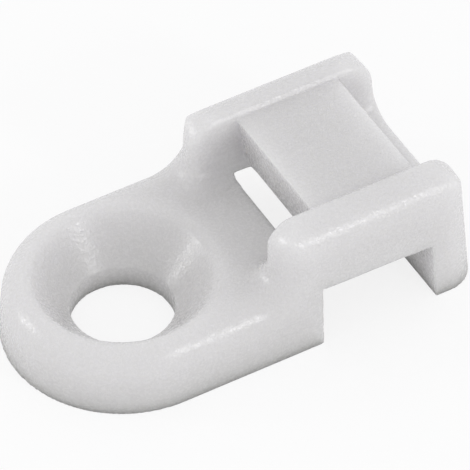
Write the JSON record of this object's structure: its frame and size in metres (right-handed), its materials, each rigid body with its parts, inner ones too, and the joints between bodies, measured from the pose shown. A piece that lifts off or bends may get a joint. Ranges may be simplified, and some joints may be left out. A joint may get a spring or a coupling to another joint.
{
  "type": "cable tie mount",
  "caption": "Small screw-fixed saddle mount that holds a cable tie: a countersunk pad with a round end and a bridged saddle with an open channel under it.",
  "frame": {"origin": "axis of the screw hole in the base plane, the face that lies on the wall or panel", "axes": "+X from the screw pad to the saddle, +Y across the part along the tie channel, +Z away from the mounting surface"},
  "size_m": [0.0188, 0.01, 0.0059],
  "materials": {
    "nylon": "natural translucent nylon with a fine satin moulded texture"
  },
  "bodies": {
    "root": {"saddle_mount": "nylon"}
  },
  "joints": []
}
